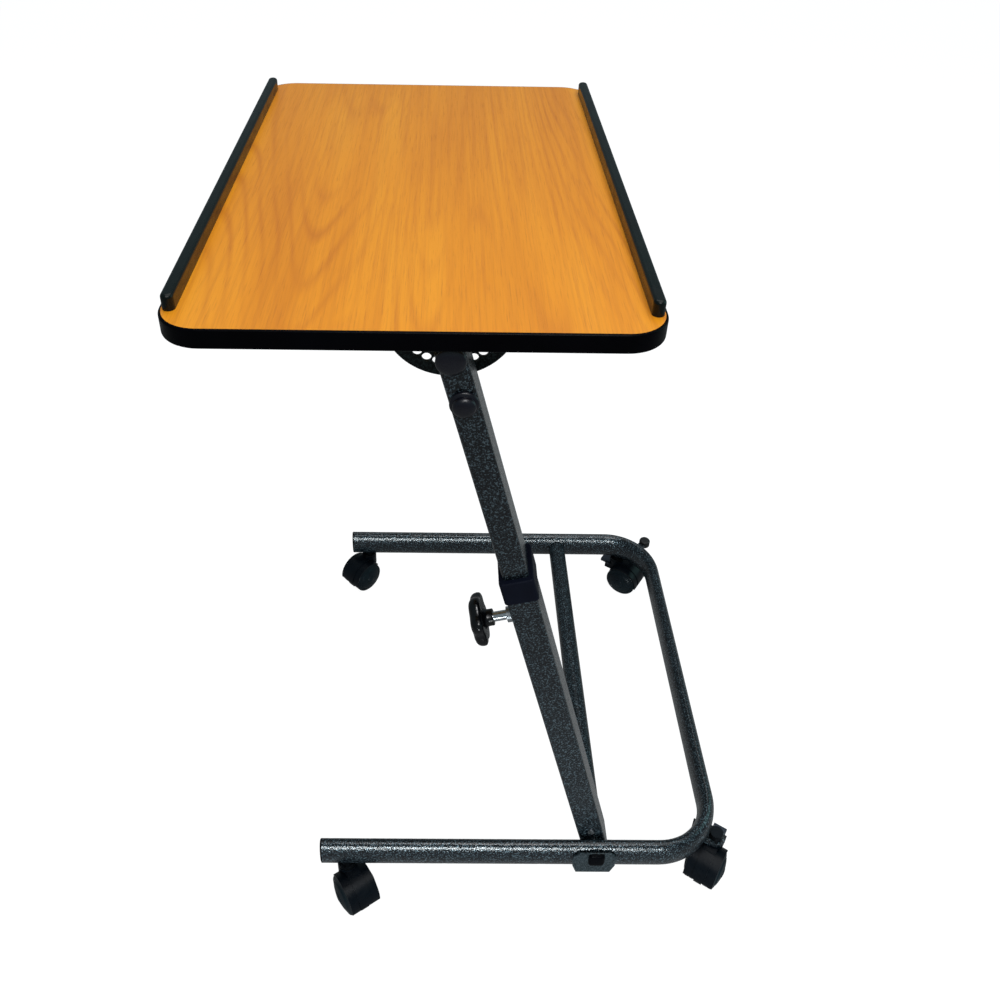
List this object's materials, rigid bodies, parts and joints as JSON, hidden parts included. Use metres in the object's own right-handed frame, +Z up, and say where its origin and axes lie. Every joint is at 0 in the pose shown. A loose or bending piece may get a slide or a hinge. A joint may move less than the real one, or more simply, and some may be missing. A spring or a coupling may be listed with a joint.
{
  "type": "overbed table",
  "caption": "Overbed table with a tilting, height-adjustable wood-grain top with side rails on a leaning telescopic mast and a U-shaped castor base.",
  "frame": {"origin": "centre of the bounding box in plan, on the floor under the castors", "axes": "+Z up; +Y along the long side of the top, away from the mast end; +X towards the closed side of the U-shaped base, which the mast foot is nearer to"},
  "size_m": [0.5912, 0.6472, 0.8283],
  "materials": {
    "particle_board": "raw chipboard, matt",
    "wood_laminate": "light oak-grain laminate, satin",
    "edge_plastic": "black plastic edging, rounded",
    "rail_plastic": "black plastic, soft gloss",
    "frame_paint": "grey-blue hammered powder coat",
    "collar_plastic": "dark grey-blue moulded plastic",
    "black_plastic": "black moulded plastic, soft gloss",
    "bright_steel": "bright zinc or chrome plate",
    "zinc_screws": "zinc plated",
    "ferrule_steel": "dull steel ferrule",
    "bush_plastic": "white nylon",
    "castor_plastic": "black castor moulding, soft gloss",
    "wheel_plastic": "dark grey castor wheel",
    "pedal_plastic": "dark blue-black pedal",
    "buffer_rubber": "black rubber"
  },
  "bodies": {
    "base": {"base_tube": "frame_paint", "base_plug_front": "black_plastic", "base_plug_rear": "black_plastic", "cross_bar": "frame_paint", "foot_bracket": "frame_paint", "foot_bolt": "bright_steel", "foot_bolt_cap": "black_plastic", "foot_nut": "zinc_screws", "foot_rivet": "zinc_screws", "outer_tube": "frame_paint", "collar_bush": "collar_plastic", "clamp_boss": "frame_paint", "castor_sockets": "ferrule_steel", "castor_stems": "bright_steel", "castor_ear": "frame_paint", "corner_lug": "frame_paint", "corner_buffer": "buffer_rubber"},
    "upper_mast": {"inner_tube": "frame_paint", "inner_glide": "bush_plastic", "pivot_arm": "frame_paint", "arm_plug_front": "black_plastic", "arm_plug_rear": "black_plastic", "plunger_housing": "bright_steel"},
    "top": {"top_board": "particle_board", "top_laminate": "wood_laminate", "edge_band": "edge_plastic", "rail_left": "rail_plastic", "rail_right": "rail_plastic", "rail_screws": "zinc_screws", "saddle_front": "frame_paint", "saddle_rear": "frame_paint", "bush_front": "bush_plastic", "bush_rear": "bush_plastic", "saddle_screws": "zinc_screws", "quadrant_plate": "frame_paint", "quadrant_screws": "zinc_screws"},
    "lock_plunger": {"plunger_knob": "black_plastic", "plunger_pin": "bright_steel", "plunger_spring": "bright_steel"},
    "clamp_pad": {"clamp_pad": "bush_plastic"},
    "clamp_knob": {"clamp_screw": "bright_steel", "clamp_knob": "black_plastic"},
    "castor_front_left": {"hood_front_left": "castor_plastic", "axle_front_left": "bright_steel"},
    "wheel_a_front_left": {"wheel_a_front_left": "wheel_plastic"},
    "wheel_b_front_left": {"wheel_b_front_left": "wheel_plastic"},
    "castor_rear_left": {"hood_rear_left": "castor_plastic", "axle_rear_left": "bright_steel"},
    "wheel_a_rear_left": {"wheel_a_rear_left": "wheel_plastic"},
    "wheel_b_rear_left": {"wheel_b_rear_left": "wheel_plastic"},
    "castor_front_right": {"hood_front_right": "castor_plastic", "axle_front_right": "bright_steel"},
    "wheel_a_front_right": {"wheel_a_front_right": "wheel_plastic"},
    "wheel_b_front_right": {"wheel_b_front_right": "wheel_plastic"},
    "brake_front_right": {"brake_front_right": "pedal_plastic"},
    "castor_rear_right": {"hood_rear_right": "castor_plastic", "axle_rear_right": "bright_steel"},
    "wheel_a_rear_right": {"wheel_a_rear_right": "wheel_plastic"},
    "wheel_b_rear_right": {"wheel_b_rear_right": "wheel_plastic"},
    "brake_rear_right": {"brake_rear_right": "pedal_plastic"}
  },
  "joints": [
    {"name": "height_slide", "type": "slide", "parent": "base", "child": "upper_mast", "axis": [-0.2532, 0, 0.9674], "range_m": [-0.15, 0.15]},
    {"name": "top_tilt", "type": "hinge", "parent": "upper_mast", "child": "top", "pos_m": [-0.06652, -0.24137, 0.7825], "axis": [0, 1, 0], "range_deg": [-41.67, 37]},
    {"name": "lock_pull", "type": "slide", "parent": "upper_mast", "child": "lock_plunger", "axis": [0, -1, 0], "range_m": [0, 0.008], "stiffness_N_per_m": 600, "springref_m": -0.005, "deforming": ["plunger_spring"]},
    {"name": "clamp_feed", "type": "slide", "parent": "base", "child": "clamp_pad", "axis": [-0.9674, 0, -0.2532], "range_m": [0, 0.003]},
    {"name": "clamp_turn", "type": "hinge", "parent": "clamp_pad", "child": "clamp_knob", "pos_m": [0.01516, -0.24137, 0.47042], "axis": [-0.9674, 0, -0.2532], "range_deg": [0, 720]},
    {"name": "swivel_front_left", "type": "hinge", "parent": "base", "child": "castor_front_left", "pos_m": [-0.18387, -0.27487, 0.05], "axis": [0, 0, 1], "continuous": true},
    {"name": "roll_a_front_left", "type": "hinge", "parent": "castor_front_left", "child": "wheel_a_front_left", "pos_m": [-0.17366, -0.2903, 0.025], "axis": [0.8339, 0.5519, 0], "continuous": true},
    {"name": "roll_b_front_left", "type": "hinge", "parent": "castor_front_left", "child": "wheel_b_front_left", "pos_m": [-0.17366, -0.2903, 0.025], "axis": [0.8339, 0.5519, 0], "continuous": true},
    {"name": "swivel_rear_left", "type": "hinge", "parent": "base", "child": "castor_rear_left", "pos_m": [-0.19407, 0.25643, 0.05], "axis": [0, 0, 1], "continuous": true},
    {"name": "roll_a_rear_left", "type": "hinge", "parent": "castor_rear_left", "child": "wheel_a_rear_left", "pos_m": [-0.20669, 0.2429, 0.025], "axis": [0.7314, -0.682, 0], "continuous": true},
    {"name": "roll_b_rear_left", "type": "hinge", "parent": "castor_rear_left", "child": "wheel_b_rear_left", "pos_m": [-0.20669, 0.2429, 0.025], "axis": [0.7314, -0.682, 0], "continuous": true},
    {"name": "swivel_front_right", "type": "hinge", "parent": "base", "child": "castor_front_right", "pos_m": [0.27523, -0.24107, 0.05], "axis": [0, 0, 1], "continuous": true},
    {"name": "roll_a_front_right", "type": "hinge", "parent": "castor_front_right", "child": "wheel_a_front_right", "pos_m": [0.26502, -0.2565, 0.025], "axis": [0.8339, -0.5519, 0], "continuous": true},
    {"name": "roll_b_front_right", "type": "hinge", "parent": "castor_front_right", "child": "wheel_b_front_right", "pos_m": [0.26502, -0.2565, 0.025], "axis": [0.8339, -0.5519, 0], "continuous": true},
    {"name": "brake_front_right", "type": "hinge", "parent": "castor_front_right", "child": "brake_front_right", "pos_m": [0.2813, -0.2319, 0.0465], "axis": [-0.8339, 0.5519, 0], "range_deg": [0, 25]},
    {"name": "swivel_rear_right", "type": "hinge", "parent": "base", "child": "castor_rear_right", "pos_m": [0.22053, 0.25153, 0.05], "axis": [0, 0, 1], "continuous": true},
    {"name": "roll_a_rear_right", "type": "hinge", "parent": "castor_rear_right", "child": "wheel_a_rear_right", "pos_m": [0.23587, 0.24119, 0.025], "axis": [0.5592, 0.829, 0], "continuous": true},
    {"name": "roll_b_rear_right", "type": "hinge", "parent": "castor_rear_right", "child": "wheel_b_rear_right", "pos_m": [0.23587, 0.24119, 0.025], "axis": [0.5592, 0.829, 0], "continuous": true},
    {"name": "brake_rear_right", "type": "hinge", "parent": "castor_rear_right", "child": "brake_rear_right", "pos_m": [0.21141, 0.25768, 0.0465], "axis": [-0.5592, -0.829, 0], "range_deg": [0, 25]}
  ],
  "couplings": [
    {"joint": "clamp_feed", "follows": "clamp_turn", "m_per_rad": 0.0002387}
  ]
}
